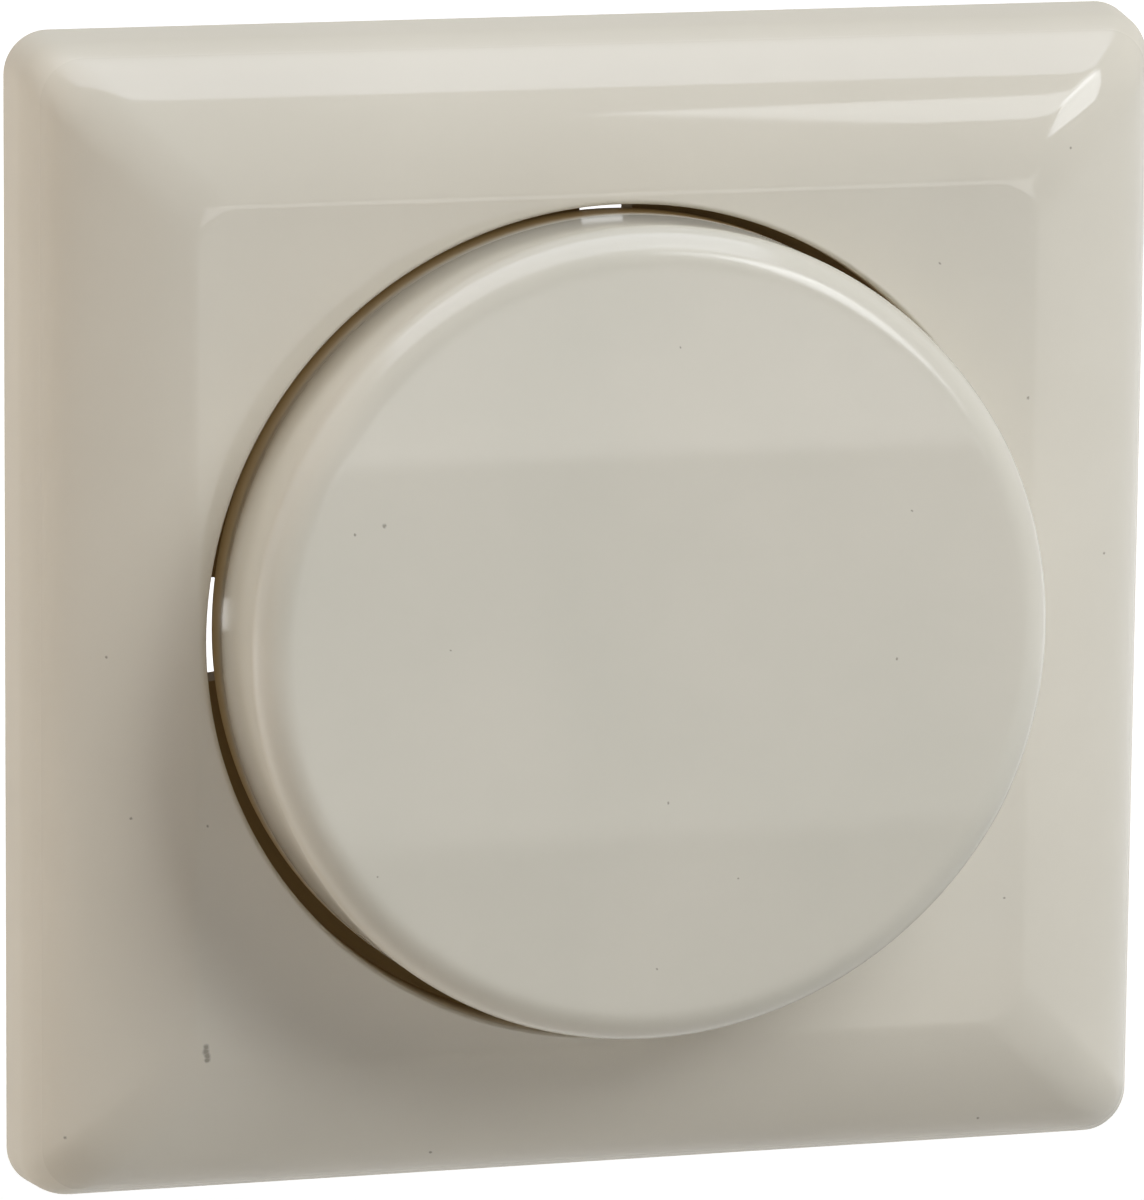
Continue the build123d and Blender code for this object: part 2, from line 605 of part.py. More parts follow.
def make_clamp_spring(outer, turn):
    leg, tongue = clamp_lines(outer)
    arch = TangentArc(leg @ 1, tongue @ 0, tangent=(0, 1))
    leaf = trace(leg + arch + tongue, CLAMP_THICKNESS)
    spring = extrude(Plane.XZ * leaf, CLAMP_WIDTH / 2, both=True)
    slit_x = ((tongue @ 0).X + CLAMP_THICKNESS, outer)
    spring -= block(slit_x, (-CLAMP_SLIT / 2, CLAMP_SLIT / 2), (well_floor, (tongue @ 0).Y))
    return Rot(0, 0, turn) * spring


def make_release_button(outer, turn):
    near = outer - WELL_LENGTH + BUTTON_FROM_WALL
    x = (near, near + BUTTON_THICKNESS)
    flange_back = well_floor + BUTTON_PLAY
    back = -HOUSING_DEPTH - BUTTON_PROUD
    tongue = clamp_lines(outer)[1]
    run = tongue % 0
    top = (tongue @ 0).Y + (x[1] - (tongue @ 0).X) * run.Y / run.X
    top -= CLAMP_THICKNESS / 2 / run.X + BUTTON_HEAD_GAP
    button = block(x, (-BUTTON_WIDTH / 2, BUTTON_WIDTH / 2), (back, top))
    flange_half = BUTTON_FLANGE_WIDTH / 2
    button += block(x, (-flange_half, flange_half), (flange_back, flange_back + BUTTON_FLANGE))
    button -= block(x, (-BUTTON_SLOT / 2, BUTTON_SLOT / 2), (back, back + BUTTON_SLOT_DEPTH))
    return Rot(0, 0, turn) * button


def tilted(piece):
    """A piece of the see-saw, with the rocker's upper end pressed in."""
    return piece.rotate(see_saw, -TILT)


def switched(piece):
    """A piece of the contact lever, with its lower end on the fixed contact."""
    return piece.rotate(lever_axis, LEVER_TILT)


os.makedirs("parts", exist_ok=True)
write("cover_frame", make_cover_frame())
write("rocker", tilted(make_rocker()))
write("rocker_cradle", tilted(make_rocker_cradle()))
write("plunger", tilted(make_plunger()))
write("plunger_spring", tilted(make_plunger_spring()))
write("bearing_cover", make_bearing_cover())
write("support_ring", make_support_ring())
write("base_housing", make_base_housing())
write("housing_screws", make_housing_screws())
write("contact_lever", switched(make_contact_lever()))
write("moving_contact_upper", switched(make_moving_contact(1)))
write("moving_contact_lower", switched(make_moving_contact(-1)))
write("common_terminal", make_common_terminal())
write("fixed_contact_upper", make_fixed_contact(1))
write("fixed_contact_lower", make_fixed_contact(-1))
write("upper_terminal", make_end_terminal(90))
write("lower_terminal", make_end_terminal(-90))
for place, outer, turn in (("common", well_side, 0), ("upper", well_end, 90), ("lower", well_end, -90)):
    write(f"clamp_spring_{place}", make_clamp_spring(outer, turn))
    write(f"release_button_{place}", make_release_button(outer, turn))
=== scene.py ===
from math import asin, atan2, cos, degrees, hypot, pi, radians, sin, sqrt, tan

import bmesh
import bpy
from mathutils import Matrix, Vector


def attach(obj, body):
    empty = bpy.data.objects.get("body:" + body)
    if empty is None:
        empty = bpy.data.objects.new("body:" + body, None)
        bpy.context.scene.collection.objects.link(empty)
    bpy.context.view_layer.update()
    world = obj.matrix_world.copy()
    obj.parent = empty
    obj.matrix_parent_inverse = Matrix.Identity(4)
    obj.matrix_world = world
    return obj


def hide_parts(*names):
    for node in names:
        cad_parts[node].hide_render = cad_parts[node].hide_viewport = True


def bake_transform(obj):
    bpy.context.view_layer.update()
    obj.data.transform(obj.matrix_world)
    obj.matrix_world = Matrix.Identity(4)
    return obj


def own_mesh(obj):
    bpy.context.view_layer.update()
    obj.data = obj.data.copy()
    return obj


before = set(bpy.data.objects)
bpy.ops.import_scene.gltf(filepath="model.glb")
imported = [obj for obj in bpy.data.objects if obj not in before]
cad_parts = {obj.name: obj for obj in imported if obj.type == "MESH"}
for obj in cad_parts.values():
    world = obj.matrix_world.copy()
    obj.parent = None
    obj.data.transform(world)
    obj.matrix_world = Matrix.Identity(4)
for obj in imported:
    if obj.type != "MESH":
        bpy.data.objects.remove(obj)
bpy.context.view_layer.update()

# Base housing: the box that sits in the wall, moulded in one piece from a filled, heat-proof plastic.
# Four screws hold it behind the support ring, and its back has the wire entries and button slots.
TONE_PATCH = 0.02
TONE_BAND = (0.35, 0.65)
GLOSS_PATCH = 0.012


def paint(red, green, blue):
    """A colour as it is read off a colour card, in the shader's linear values."""
    def linear(value):
        value /= 255
        return value / 12.92 if value <= 0.04045 else ((value + 0.055) / 1.055) ** 2.4
    return linear(red), linear(green), linear(blue), 1.0


def cloud(tree, size, detail):
    """Noise over the piece whose patches measure about one size, in metres."""
    place = tree.nodes.new("ShaderNodeTexCoord")
    noise = tree.nodes.new("ShaderNodeTexNoise")
    noise.inputs["Scale"].default_value = 1 / size
    noise.inputs["Detail"].default_value = detail
    tree.links.new(place.outputs["Object"], noise.inputs["Vector"])
    return noise.outputs["Fac"]


def toned(tree, fac, dark, light):
    """A colour that drifts between two near tones."""
    ramp = tree.nodes.new("ShaderNodeValToRGB")
    ramp.color_ramp.elements[0].position = TONE_BAND[0]
    ramp.color_ramp.elements[0].color = dark
    ramp.color_ramp.elements[1].position = TONE_BAND[1]
    ramp.color_ramp.elements[1].color = light
    tree.links.new(fac, ramp.inputs["Fac"])
    return ramp.outputs["Color"]


def finish_surface(tree, roughness, grain, grain_size):
    """Uneven gloss and a fine grain on a material's shader."""
    shader = tree.nodes["Principled BSDF"]
    gloss = tree.nodes.new("ShaderNodeMapRange")
    gloss.inputs["To Min"].default_value = roughness[0]
    gloss.inputs["To Max"].default_value = roughness[1]
    tree.links.new(cloud(tree, GLOSS_PATCH, detail=3), gloss.inputs["Value"])
    tree.links.new(gloss.outputs["Result"], shader.inputs["Roughness"])
    bump = tree.nodes.new("ShaderNodeBump")
    bump.inputs["Strength"].default_value = 1.0
    bump.inputs["Distance"].default_value = grain
    tree.links.new(cloud(tree, grain_size, detail=2), bump.inputs["Height"])
    tree.links.new(bump.outputs["Normal"], shader.inputs["Normal"])


def moulded(name, dark, light, roughness, grain, grain_size):
    """Moulded plastic in two near tones."""
    material = bpy.data.materials.new(name)
    material.use_nodes = True
    tree = material.node_tree
    shader = tree.nodes["Principled BSDF"]
    drift = cloud(tree, TONE_PATCH, detail=4)
    tree.links.new(toned(tree, drift, dark, light), shader.inputs["Base Color"])
    finish_surface(tree, roughness, grain, grain_size)
    return material


def dress(material, *nodes):
    """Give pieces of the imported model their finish."""
    for node in nodes:
        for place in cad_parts[node].material_slots:
            place.material = material


housing_grey = moulded(
    "housing_grey",
    dark=paint(128, 130, 132),
    light=paint(142, 144, 145),
    roughness=(0.42, 0.55),
    grain=4e-6,
    grain_size=0.0004,
)
dress(housing_grey, "base_housing")

# Terminals and contact lever: strips stamped and folded from brass, laid into the housing from the front.
# The lever rocks on the knife edge of the middle strip.


def metal(name, dark, light, roughness, grain, grain_size):
    """Bare or plated metal in two near tones."""
    material = moulded(name, dark, light, roughness, grain, grain_size)
    material.node_tree.nodes["Principled BSDF"].inputs["Metallic"].default_value = 1.0
    return material


stamped_brass = metal(
    "stamped_brass",
    dark=paint(190, 158, 92),
    light=paint(212, 180, 112),
    roughness=(0.24, 0.4),
    grain=2e-6,
    grain_size=0.0003,
)
dress(stamped_brass, "common_terminal", "upper_terminal", "lower_terminal", "contact_lever")

# Contact rivets: silver alloy buttons, riveted into the lever and into the two outer terminals.
# They are pressed to shape and stay bright, with a slightly uneven gloss.
contact_silver = metal(
    "contact_silver",
    dark=paint(196, 197, 196),
    light=paint(222, 222, 219),
    roughness=(0.2, 0.38),
    grain=1.5e-6,
    grain_size=0.0002,
)
for place in ("upper", "lower"):
    dress(contact_silver, f"moving_contact_{place}", f"fixed_contact_{place}")

# Springs: a helix of wire behind the plunger and three bent leaves that hold the wires, in bright steel.
# In the switch the helix shortens as the plunger slides, and a leaf's tongue gives way to its button; here
# the helix keeps one length and the leaves one shape.
# They are drawn in millimetres, lying on the back with the wall at zero, a leaf from its well's outer wall,
# then stood up.
UPRIGHT = Matrix.Rotation(pi / 2, 4, "X") @ Matrix.Scale(0.001, 4)
PIVOT = 4.0
ROCKER_TILT = radians(-2.2)
COIL_FOOT = 0.55
COIL_LENGTH = 6.0
COIL_RADIUS = 1.5
COIL_WIRE = 0.4
COIL_TURNS = 6
COIL_STEPS = 168
COIL_SIDES = 10
WELLS = {"common": (16.6, 0), "upper": (17.6, 90), "lower": (17.6, -90)}
LEAF_THICKNESS = 0.4
LEAF_HALF = 3.8
LEAF_COLUMNS = 3
LEAF_SLIT_HALF = 0.4
LEAF_LEG = -7.3
LEAF_FOOT = -20.3
LEAF_BEND = 0.9
LEAF_BEND_FOOT = -16.9
LEAF_ARCH = radians(172)
LEAF_ARCH_STEPS = 12
LEAF_BACK_BEND = 0.25
LEAF_BACK = radians(50.3)
LEAF_BACK_STEPS = 6
LEAF_ROOT = 0.33
LEAF_PRONG = 4.3


def whole(faces):
    """Faces with their edges and corners, so that an operator leaves none of them inside."""
    edges = dict.fromkeys(edge for face in faces for edge in face.edges)
    points = dict.fromkeys(point for face in faces for point in face.verts)
    return [*faces, *edges, *points]


def drawn_out(bm, faces, move):
    """Draw end faces out along a line and give the new ends."""
    made = bmesh.ops.extrude_face_region(bm, geom=whole(faces))
    moved = [v for v in made["geom"] if isinstance(v, bmesh.types.BMVert)]
    bmesh.ops.translate(bm, verts=moved, vec=move)
    return [f for f in made["geom"] if isinstance(f, bmesh.types.BMFace)]


def curled(bm, faces, centre, angle, steps):
    """Carry end faces round a bend across the strip and give the new ends."""
    made = bmesh.ops.spin(bm, geom=whole(faces), cent=centre, axis=(0, 1, 0), angle=angle, steps=steps)
    return [f for f in made["geom_last"] if isinstance(f, bmesh.types.BMFace)]


def stand_up(bm, name, place, sharp):
    """Turn a drawn piece upright, in metres, and make it an object with smooth curves and crisp edges."""
    bmesh.ops.recalc_face_normals(bm, faces=bm.faces)
    mesh = bpy.data.meshes.new(name)
    bm.to_mesh(mesh)
    bm.free()
    mesh.transform(UPRIGHT @ place)
    mesh.shade_smooth()
    mesh.set_sharp_from_angle(angle=radians(sharp))
    piece = bpy.data.objects.new(name, mesh)
    bpy.context.scene.collection.objects.link(piece)
    return piece


spring_steel = metal(
    "spring_steel",
    dark=paint(150, 151, 154),
    light=paint(186, 187, 190),
    roughness=(0.22, 0.36),
    grain=1e-6,
    grain_size=0.0002,
)
pressed = Matrix.Translation((0, 0, PIVOT)) @ Matrix.Rotation(ROCKER_TILT, 4, "X")
pressed = pressed @ Matrix.Translation((0, 0, -PIVOT))
coil = bmesh.new()
wire_end = Matrix.Translation((COIL_RADIUS, 0, COIL_FOOT + COIL_WIRE / 2))
wire_end = wire_end @ Matrix.Rotation(pi / 2, 4, "X")
bmesh.ops.create_circle(coil, cap_ends=True, segments=COIL_SIDES, radius=COIL_WIRE / 2, matrix=wire_end)
bmesh.ops.spin(
    coil,
    geom=[*coil.verts, *coil.edges, *coil.faces],
    cent=(0, 0, 0),
    axis=(0, 0, 1),
    dvec=(0, 0, (COIL_LENGTH - COIL_WIRE) / COIL_STEPS),
    angle=2 * pi * COIL_TURNS,
    steps=COIL_STEPS,
)
plunger_coil = stand_up(coil, "plunger_coil", pressed, sharp=40)
plunger_coil.data.materials.append(spring_steel)
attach(plunger_coil, "rocker")
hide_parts("plunger_spring")
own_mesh(plunger_coil)
strip = Matrix.Translation((LEAF_LEG, 0, LEAF_FOOT))
strip = strip @ Matrix.Diagonal((LEAF_THICKNESS / 2, LEAF_HALF, 1, 1))
arch_centre = Vector((LEAF_LEG + LEAF_BEND, 0, LEAF_BEND_FOOT))
back_reach = LEAF_BEND + LEAF_BACK_BEND
back_centre = arch_centre + back_reach * Vector((-cos(LEAF_ARCH), 0, sin(LEAF_ARCH)))
slant = pi - LEAF_ARCH + LEAF_BACK
tongue = Vector((sin(slant), 0, -cos(slant)))
for place, (outer, turn) in WELLS.items():
    in_well = Matrix.Rotation(radians(turn), 4, "Z") @ Matrix.Translation((outer, 0, 0))
    leaf = bmesh.new()
    bmesh.ops.create_grid(leaf, x_segments=1, y_segments=LEAF_COLUMNS, size=1, matrix=strip)
    for point in leaf.verts:
        if abs(point.co.y) < LEAF_HALF / 2:
            point.co.y *= LEAF_COLUMNS * LEAF_SLIT_HALF / LEAF_HALF
    ends = drawn_out(leaf, leaf.faces[:], (0, 0, LEAF_BEND_FOOT - LEAF_FOOT))
    ends = curled(leaf, ends, arch_centre, LEAF_ARCH, LEAF_ARCH_STEPS)
    ends = curled(leaf, ends, back_centre, -LEAF_BACK, LEAF_BACK_STEPS)
    ends = drawn_out(leaf, ends, LEAF_ROOT * tongue)
    prongs = [face for face in ends if abs(face.calc_center_median().y) > LEAF_SLIT_HALF]
    drawn_out(leaf, prongs, LEAF_PRONG * tongue)
    clamp_leaf = stand_up(leaf, f"clamp_leaf_{place}", in_well, sharp=40)
    clamp_leaf.data.materials.append(spring_steel)
    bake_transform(clamp_leaf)
    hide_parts(f"clamp_spring_{place}")

# Release buttons, plunger, cradle and bearing cover: small mouldings in white plastic with a matt skin.
# The buttons and the plunger slide in their guides, and the cradle snaps into the bearing cover.
# A button's head is chamfered, so that only its ridge meets the leaf's tongue.
insert_white = moulded(
    "insert_white",
    dark=paint(218, 217, 211),
    light=paint(229, 228, 223),
    roughness=(0.4, 0.52),
    grain=3e-6,
    grain_size=0.0004,
)
dress(insert_white, "bearing_cover", "rocker_cradle", "plunger")
BUTTON_X = (-6.65, -4.95)
BUTTON_HALF = 2.0
BUTTON_BACK = -22.6
BUTTON_HEAD = -17.77
BUTTON_FLANGE = (-20.35, -19.35)
BUTTON_FLANGE_HALF = 3.4
BUTTON_SLOT_HALF = 0.3
BUTTON_SLOT = 0.4
BUTTON_RIDGE = -5.4
BUTTON_CHAMFER = 1.2
half_outline = [
    (BUTTON_SLOT_HALF, BUTTON_BACK + BUTTON_SLOT),
    (BUTTON_SLOT_HALF, BUTTON_BACK),
    (BUTTON_HALF, BUTTON_BACK),
    (BUTTON_HALF, BUTTON_FLANGE[0]),
    (BUTTON_FLANGE_HALF, BUTTON_FLANGE[0]),
    (BUTTON_FLANGE_HALF, BUTTON_FLANGE[1]),
    (BUTTON_HALF, BUTTON_FLANGE[1]),
    (BUTTON_HALF, BUTTON_HEAD),
]
outline = half_outline + [(-across, height) for across, height in reversed(half_outline)]
for place, (outer, turn) in WELLS.items():
    button = bmesh.new()
    corners = [button.verts.new((BUTTON_X[0], across, height)) for across, height in outline]
    drawn_out(button, [button.faces.new(corners)], (BUTTON_X[1] - BUTTON_X[0], 0, 0))
    cut = bmesh.ops.bisect_plane(
        button,
        geom=[*button.verts, *button.edges, *button.faces],
        plane_co=(BUTTON_RIDGE, 0, BUTTON_HEAD),
        plane_no=(-BUTTON_CHAMFER, 0, 1),
        clear_outer=True,
    )
    open_edges = [e for e in cut["geom_cut"] if isinstance(e, bmesh.types.BMEdge)]
    bmesh.ops.contextual_create(button, geom=open_edges)
    in_well = Matrix.Rotation(radians(turn), 4, "Z") @ Matrix.Translation((outer, 0, 0))
    release_push = stand_up(button, f"release_push_{place}", in_well, sharp=30)
    release_push.data.materials.append(insert_white)
    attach(release_push, f"release_{place}")
    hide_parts(f"release_button_{place}")

# Support ring and its screws: stamped steel with a thin zinc coat, which leaves a cloudy spangle.
# The ring is screwed to the wall box and carries everything else.
zinc_plated = metal(
    "zinc_plated",
    dark=paint(168, 171, 174),
    light=paint(200, 202, 205),
    roughness=(0.28, 0.5),
    grain=3e-6,
    grain_size=0.0006,
)
dress(zinc_plated, "support_ring", "housing_screws")

# Cover frame: one glossy cream moulding with arched bands that meet in soft mitres, hollow at the back.
# A collar round the opening and four diagonal ribs stand on the support ring, and a ledge lies behind the
# rocker. It is drawn in millimetres, lying on its back with the wall at zero.
FRAME_HALF = 40.0
FRAME_FRONT = 11.5
FRAME_WALL = 2.0
FRAME_CORNER = 3.0
FRAME_INNER_CORNER = 1.0
FRAME_FOOT = (39.98, 0.25)
FRAME_RIM = (39.75, 3.0)
FRAME_SHOULDER = (36.1, 8.9)
FRAME_FLAT = (29.3, 11.5)
FLANK_STEPS = 18
BAND_STEPS = 26
CORNER_STEPS = 16
SIDE_CUTS = 39
CREASE_INNER = 29.1
CREASE_OUTER = 30.2
CREASE_STEPS = 8
OPENING = 28.65
OPENING_ROUNDING = 0.3
OPENING_STEPS = 4
FLAT_MARGIN = 0.1
COLLAR_OUTER = 30.25
COLLAR_FOOT = 1.2
COLLAR_MARGIN = 0.4
HEAD_ROOM = 4.2
HEAD_ROOM_HALF = 4.5
LEDGE_INNER = 26.25
LEDGE_HEIGHTS = (4.6, 7.2)
LEDGE_OVERLAP = 0.1
SIDE_NOTCH_HALF = 3.7
END_NOTCH_HALF = 1.9
RIB_HALF = 0.7
RIB_OVERLAP = 0.5
RIB_SHORT = 1.0
ARC_STEPS = 40
ROUND_STEPS = 224
# Painted shade and painted light for the gap: below the frame's flat the mouldings turn a darker amber, and a
# faint emission stands in for light through the plastic.
GAP_SHADE_TONE = paint(154, 128, 84)
GAP_SHADE_DEPTH = 4.0
PAINTED_GLOW_RAMP = (0.05, 0.2, 0.5, 0.9)
PAINTED_GLOW_DEEP = 0.03
POLISHED = 0.5
DULL = 0.1
SPECK_TONE = paint(92, 84, 70)
SPECK_SHARE = 0.6
SPECK_CORE = 0.4
SPECK_RAGGED = 0.0002
SPECK_GRAIN = 0.00025


def arc_stations(start, heading, end, steps):
    """Points and headings along the arc that leaves a point on a heading and ends at another point."""
    chord = Vector(end) - Vector(start)
    half_turn = atan2(chord.y, chord.x) - heading
    stations = []
    for step in range(1, steps + 1):
        part = half_turn * step / steps
        reach = chord.length * sin(part) / sin(half_turn)
        x = start[0] + reach * cos(heading + part)
        height = start[1] + reach * sin(heading + part)
        stations.append((x, height, heading + 2 * part))
    return stations


def square_loop(bm, half, height, corner):
    """Edges of a square with round corners at one height."""
    known = set(bm.edges)
    turned = Matrix.Translation((0, 0, height)) @ Matrix.Rotation(pi / 4, 4, "Z")
    made = bmesh.ops.create_circle(bm, cap_ends=True, segments=4, radius=half * sqrt(2), matrix=turned)
    bmesh.ops.bevel(
        bm,
        geom=made["verts"],
        offset=corner,
        offset_type="OFFSET",
        segments=CORNER_STEPS,
        profile=0.5,
        affect="VERTICES",
        material=-1,
    )
    faces = [f for f in bm.faces if all(e not in known for e in f.edges)]
    bmesh.ops.delete(bm, geom=faces, context="FACES_ONLY")
    straight = [e for e in bm.edges if e not in known and e.calc_length() > half]
    bmesh.ops.subdivide_edges(bm, edges=straight, cuts=SIDE_CUTS)
    return [e for e in bm.edges if e not in known]


def circle_loop(bm, radius, height):
    """Edges of a circle at one height."""
    known = set(bm.edges)
    bmesh.ops.create_circle(
        bm, cap_ends=False, segments=ROUND_STEPS, radius=radius, matrix=Matrix.Translation((0, 0, height))
    )
    return [e for e in bm.edges if e not in known]


def bridge(bm, loops):
    """Join a row of loops to a skin."""
    for near, far in zip(loops, loops[1:]):
        bmesh.ops.bridge_loops(bm, edges=near + far)


def ring_wall(bm, radii, heights, angles):
    """Part of a ring with a square section between two angles."""
    (inner, outer), (low, high) = radii, heights
    corners = [(inner, low), (outer, low), (outer, high), (inner, high)]
    turn = Matrix.Rotation(radians(angles[0]), 3, "Z")
    section = bm.faces.new([bm.verts.new(turn @ Vector((r, 0, z))) for r, z in corners])
    bmesh.ops.spin(
        bm,
        geom=[section, *section.edges, *section.verts],
        cent=(0, 0, 0),
        axis=(0, 0, 1),
        angle=radians(angles[1] - angles[0]),
        steps=ARC_STEPS,
    )


def plate(bm, outline, thickness):
    """A flat outline given its thickness."""
    face = bm.faces.new([bm.verts.new(point) for point in outline])
    drawn_out(bm, [face], thickness)


shell = bmesh.new()
lean = atan2(FRAME_RIM[1], FRAME_RIM[0] - FRAME_HALF)
section = [(FRAME_HALF, 0.0, lean), (*FRAME_FOOT, lean), (*FRAME_RIM, lean)]
section += arc_stations(FRAME_RIM, lean, FRAME_SHOULDER, FLANK_STEPS)
section += arc_stations(FRAME_SHOULDER, section[-1][2], FRAME_FLAT, BAND_STEPS)
bands = [s for s in section if s[0] > CREASE_OUTER]
skin = [square_loop(shell, half, height, FRAME_CORNER) for half, height, heading in bands]
reach = bands[-1][0] - CREASE_INNER
slope = tan(pi - bands[-1][2])
drop = FRAME_FRONT - bands[-1][1]
for step in range(1, CREASE_STEPS + 1):
    left = 1 - step / CREASE_STEPS
    sink = drop * left**2 * (3 - 2 * left) - slope * reach * left**2 * (1 - left)
    skin.append(square_loop(shell, CREASE_INNER + reach * left, FRAME_FRONT - sink, FRAME_CORNER))
skin.append(circle_loop(shell, OPENING + OPENING_ROUNDING + FLAT_MARGIN, FRAME_FRONT))
for step in range(OPENING_STEPS + 1):
    angle = pi / 2 * step / OPENING_STEPS
    radius = OPENING + OPENING_ROUNDING * (1 - sin(angle))
    skin.append(circle_loop(shell, radius, FRAME_FRONT - OPENING_ROUNDING * (1 - cos(angle))))
skin.append(circle_loop(shell, OPENING, HEAD_ROOM))
skin.append(circle_loop(shell, COLLAR_OUTER, HEAD_ROOM))
hollow = []
for half, height, heading in section[2:]:
    inside = half - FRAME_WALL * sin(heading)
    if inside > COLLAR_OUTER + COLLAR_MARGIN:
        hollow.append((inside, height + FRAME_WALL * cos(heading)))
skin.append(circle_loop(shell, COLLAR_OUTER, hollow[-1][1]))
skin += [square_loop(shell, half, height, FRAME_INNER_CORNER) for half, height in reversed(hollow)]
skin.append(square_loop(shell, FRAME_HALF - FRAME_WALL, 0.0, FRAME_INNER_CORNER))
skin.append(skin[0])
bridge(shell, skin)
head_angle = degrees(asin(HEAD_ROOM_HALF / COLLAR_OUTER))
side_angle = degrees(asin(SIDE_NOTCH_HALF / OPENING))
end_angle = degrees(asin(END_NOTCH_HALF / OPENING))
for quarter in range(4):
    start = 90 * quarter
    collar_angles = (start + head_angle, start + 90 - head_angle)
    ring_wall(shell, (OPENING, COLLAR_OUTER), (COLLAR_FOOT, HEAD_ROOM), collar_angles)
    near, far = (side_angle, end_angle) if quarter % 2 == 0 else (end_angle, side_angle)
    ledge_radii = (LEDGE_INNER, OPENING + LEDGE_OVERLAP)
    ring_wall(shell, ledge_radii, LEDGE_HEIGHTS, (start + near, start + 90 - far))
    turn = Matrix.Rotation(radians(start + 45), 3, "Z")
    corner_reach = hollow[0][0] * sqrt(2) - RIB_SHORT
    midway = hollow[len(hollow) // 2]
    rib = [
        (COLLAR_OUTER - RIB_OVERLAP, COLLAR_FOOT),
        (corner_reach, COLLAR_FOOT),
        (corner_reach, hollow[0][1]),
        (midway[0] * sqrt(2) - RIB_SHORT, midway[1]),
        (hollow[-1][0] * sqrt(2), hollow[-1][1]),
        (COLLAR_OUTER - RIB_OVERLAP, hollow[-1][1]),
    ]
    outline = [turn @ Vector((reach, -RIB_HALF, height)) for reach, height in rib]
    plate(shell, outline, turn @ Vector((0, 2 * RIB_HALF, 0)))
for face in shell.faces:
    middle = face.calc_center_median()
    within = hypot(middle.x, middle.y) < OPENING + LEDGE_OVERLAP / 2
    if within and middle.z < FRAME_FRONT - OPENING_ROUNDING:
        face.material_index = 1
cover_frame = stand_up(shell, "cover_frame_moulding", Matrix.Identity(4), sharp=40)


def painted_gap_shade(material, shade_tone, strength):
    """Paint shade into the gap: turn a moulding a darker amber below the frame's flat, with a faint painted
    glow, an emission that stands in for light through the plastic.
    """
    tree = material.node_tree
    shader = tree.nodes["Principled BSDF"]
    surface = shader.inputs["Base Color"].links[0].from_socket
    place = tree.nodes.new("ShaderNodeTexCoord")
    axes = tree.nodes.new("ShaderNodeSeparateXYZ")
    depth = tree.nodes.new("ShaderNodeMapRange")
    depth.inputs["From Min"].default_value = -0.001 * FRAME_FRONT
    depth.inputs["From Max"].default_value = -0.001 * (FRAME_FRONT - GAP_SHADE_DEPTH)
    blend = tree.nodes.new("ShaderNodeMixRGB")
    blend.inputs["Color2"].default_value = shade_tone
    glow = tree.nodes.new("ShaderNodeValToRGB")
    glow.color_ramp.elements[0].position = PAINTED_GLOW_RAMP[0]
    glow.color_ramp.elements[0].color = (0, 0, 0, 1)
    glow.color_ramp.elements[1].position = PAINTED_GLOW_RAMP[3]
    glow.color_ramp.elements[1].color = (PAINTED_GLOW_DEEP, PAINTED_GLOW_DEEP, PAINTED_GLOW_DEEP, 1)
    for position in PAINTED_GLOW_RAMP[1:3]:
        glow.color_ramp.elements.new(position).color = (strength, strength, strength, 1)
    tree.links.new(place.outputs["Object"], axes.inputs["Vector"])
    tree.links.new(axes.outputs["Y"], depth.inputs["Value"])
    tree.links.new(depth.outputs["Result"], blend.inputs["Fac"])
    tree.links.new(surface, blend.inputs["Color1"])
    tree.links.new(blend.outputs["Color"], shader.inputs["Base Color"])
    tree.links.new(depth.outputs["Result"], glow.inputs["Fac"])
    tree.links.new(glow.outputs["Color"], shader.inputs["Emission Strength"])
    shader.inputs["Emission Color"].default_value = shade_tone


def dulled(material, roughness, low, high):
    """Leave a polished moulding duller at its flank, between two heights in millimetres."""
    tree = material.node_tree
    shader = tree.nodes["Principled BSDF"]
    front = shader.inputs["Roughness"].links[0].from_socket
    place = tree.nodes.new("ShaderNodeTexCoord")
    axes = tree.nodes.new("ShaderNodeSeparateXYZ")
    share = tree.nodes.new("ShaderNodeMapRange")
    share.inputs["From Min"].default_value = -0.001 * high
    share.inputs["From Max"].default_value = -0.001 * low
    rough = tree.nodes.new("ShaderNodeMix")
    rough.inputs["B"].default_value = roughness
    gloss = tree.nodes.new("ShaderNodeMapRange")
    gloss.inputs["To Min"].default_value = POLISHED
    gloss.inputs["To Max"].default_value = DULL
    tree.links.new(place.outputs["Object"], axes.inputs["Vector"])
    tree.links.new(axes.outputs["Y"], share.inputs["Value"])
    tree.links.new(share.outputs["Result"], rough.inputs["Factor"])
    tree.links.new(front, rough.inputs["A"])
    tree.links.new(rough.outputs["Result"], shader.inputs["Roughness"])
    tree.links.new(share.outputs["Result"], gloss.inputs["Value"])
    tree.links.new(gloss.outputs["Result"], shader.inputs["Specular IOR Level"])


